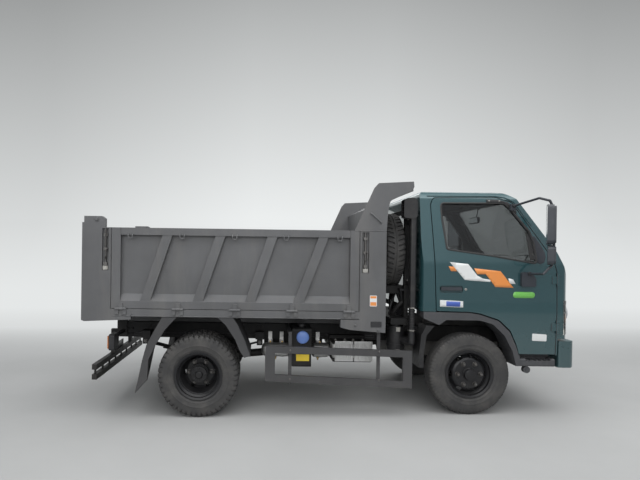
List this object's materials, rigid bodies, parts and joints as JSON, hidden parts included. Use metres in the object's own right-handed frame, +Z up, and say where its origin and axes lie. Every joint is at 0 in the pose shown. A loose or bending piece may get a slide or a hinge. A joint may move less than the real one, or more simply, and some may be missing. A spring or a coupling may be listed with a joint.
{
  "type": "tipper truck",
  "caption": "Light forward-control tipper truck: steel bed that tips on a ram, drop sides, top-hung tailgate, headboard with a forward hood, tilting cab",
  "frame": {"origin": "centre of the bounding box, on the ground under the tyres", "axes": "+X to the front of the truck, +Y to its left, +Z up"},
  "size_m": [4.7258, 2.3346, 2.2259],
  "materials": {
    "cab_paint": "gloss metallic paint",
    "bed_paint": "satin paint over plate",
    "frame_paint": "satin black paint",
    "guard_paint": "satin grey paint",
    "wheel_paint": "satin grey paint",
    "tyre_rubber": "matt rubber",
    "trim_plastic": "grained dark plastic",
    "duct_plastic": "grained grey plastic",
    "cab_glass": "clear glass",
    "lamp_lens": "clear lens over reflector",
    "tail_lens": "ribbed red and amber lens",
    "cab_plastic": "soft grained plastic",
    "seat_cloth": "woven cloth",
    "engine_iron": "bare casting",
    "tank_steel": "dull aluminised steel",
    "ram_chrome": "hard chrome",
    "battery_case": "white moulded case"
  },
  "bodies": {
    "chassis": {"ladder_frame": "frame_paint", "front_axle": "frame_paint", "rear_axle": "frame_paint", "leaf_springs": "frame_paint", "engine": "engine_iron", "propshaft": "frame_paint", "front_bumper": "cab_paint", "spare_tyre": "tyre_rubber", "spare_rim": "wheel_paint", "spare_carrier": "frame_paint", "intake_snorkel": "duct_plastic", "air_cleaner": "trim_plastic", "fuel_tank": "frame_paint", "hydraulic_tank": "frame_paint", "air_tanks": "tank_steel", "batteries": "battery_case", "battery_tray": "frame_paint", "side_guards": "guard_paint", "rear_mudguards": "bed_paint", "front_mudguards": "trim_plastic", "rear_underrun": "frame_paint", "tail_lamps": "tail_lens", "exhaust": "tank_steel"},
    "cab": {"cab_body": "cab_paint", "grille": "trim_plastic", "cab_glass": "cab_glass", "arch_flares_and_steps": "trim_plastic", "headlamps": "lamp_lens", "dashboard": "cab_plastic", "steering_wheel": "cab_plastic", "seats": "seat_cloth"},
    "door_left": {"door_left": "cab_paint", "door_handle_left": "trim_plastic", "door_glass_left": "cab_glass", "mirrors_left": "trim_plastic"},
    "door_right": {"door_right": "cab_paint", "door_handle_right": "trim_plastic", "door_glass_right": "cab_glass", "mirrors_right": "trim_plastic"},
    "knuckle_left": {"knuckle_left": "frame_paint"},
    "knuckle_right": {"knuckle_right": "frame_paint"},
    "front_wheel_left": {"front_tyre_left": "tyre_rubber", "front_rim_left": "wheel_paint"},
    "front_wheel_right": {"front_tyre_right": "tyre_rubber", "front_rim_right": "wheel_paint"},
    "rear_wheels_left": {"rear_tyres_left": "tyre_rubber", "rear_rims_left": "wheel_paint"},
    "rear_wheels_right": {"rear_tyres_right": "tyre_rubber", "rear_rims_right": "wheel_paint"},
    "bed": {"bed_floor": "bed_paint", "bed_runners": "bed_paint", "bed_posts": "bed_paint", "headboard": "bed_paint"},
    "side_gate_left": {"side_gate_left": "bed_paint"},
    "side_gate_right": {"side_gate_right": "bed_paint"},
    "tailgate": {"tailgate": "bed_paint"},
    "hoist_barrel": {"hoist_barrel": "tank_steel"},
    "hoist_rod": {"hoist_rod": "ram_chrome"}
  },
  "joints": [
    {"name": "bed_tip", "type": "hinge", "parent": "chassis", "child": "bed", "pos_m": [-2.14967, 0, 0.88033], "axis": [0, -1, 0], "range_deg": [0, 45]},
    {"name": "tailgate_swing", "type": "hinge", "parent": "bed", "child": "tailgate", "pos_m": [-2.2158, 0, 1.87435], "axis": [0, 1, 0], "range_deg": [0, 85]},
    {"name": "side_gate_left_drop", "type": "hinge", "parent": "bed", "child": "side_gate_left", "pos_m": [-0.97759, 0.943, 1.02148], "axis": [-0.9999, 0, 0.014], "range_deg": [0, 160]},
    {"name": "side_gate_right_drop", "type": "hinge", "parent": "bed", "child": "side_gate_right", "pos_m": [-0.97759, -0.943, 1.02148], "axis": [0.9999, 0, -0.014], "range_deg": [0, 160]},
    {"name": "cab_tilt", "type": "hinge", "parent": "chassis", "child": "cab", "pos_m": [2.27766, 0, 0.6585], "axis": [0, 1, 0], "range_deg": [0, 45]},
    {"name": "door_left_swing", "type": "hinge", "parent": "cab", "child": "door_left", "pos_m": [2.148, 0.856, 0.97034], "axis": [-0.014, 0, -0.9999], "range_deg": [0, 65]},
    {"name": "door_right_swing", "type": "hinge", "parent": "cab", "child": "door_right", "pos_m": [2.148, -0.856, 0.97034], "axis": [0.014, 0, 0.9999], "range_deg": [0, 65]},
    {"name": "steer_left", "type": "hinge", "parent": "chassis", "child": "knuckle_left", "pos_m": [1.325, 0.63, 0.388], "axis": [0, 0, 1], "range_deg": [-30, 30]},
    {"name": "steer_right", "type": "hinge", "parent": "chassis", "child": "knuckle_right", "pos_m": [1.325, -0.63, 0.388], "axis": [0, 0, 1], "range_deg": [-30, 30]},
    {"name": "front_wheel_left_spin", "type": "hinge", "parent": "knuckle_left", "child": "front_wheel_left", "pos_m": [1.325, 0.73, 0.388], "axis": [0, 1, 0], "continuous": true},
    {"name": "rear_wheels_left_spin", "type": "hinge", "parent": "chassis", "child": "rear_wheels_left", "pos_m": [-1.275, 0.69, 0.388], "axis": [0, 1, 0], "continuous": true},
    {"name": "front_wheel_right_spin", "type": "hinge", "parent": "knuckle_right", "child": "front_wheel_right", "pos_m": [1.325, -0.73, 0.388], "axis": [0, 1, 0], "continuous": true},
    {"name": "rear_wheels_right_spin", "type": "hinge", "parent": "chassis", "child": "rear_wheels_right", "pos_m": [-1.275, -0.69, 0.388], "axis": [0, 1, 0], "continuous": true},
    {"name": "hoist_turn", "type": "hinge", "parent": "chassis", "child": "hoist_barrel", "pos_m": [-0.95203, 0, 0.70359], "axis": [0, -1, 0], "range_deg": [0, 68.53]},
    {"name": "hoist_slide", "type": "slide", "parent": "hoist_barrel", "child": "hoist_rod", "axis": [0.9874, 0, 0.1581], "range_m": [0, 0.7434]}
  ],
  "couplings": [
    {"joint": "steer_right", "follows": "steer_left", "ratio": 1},
    {"joint": "hoist_turn", "follows": "bed_tip", "ratio": 1.5227},
    {"joint": "hoist_slide", "follows": "bed_tip", "m_per_rad": 0.94639}
  ]
}
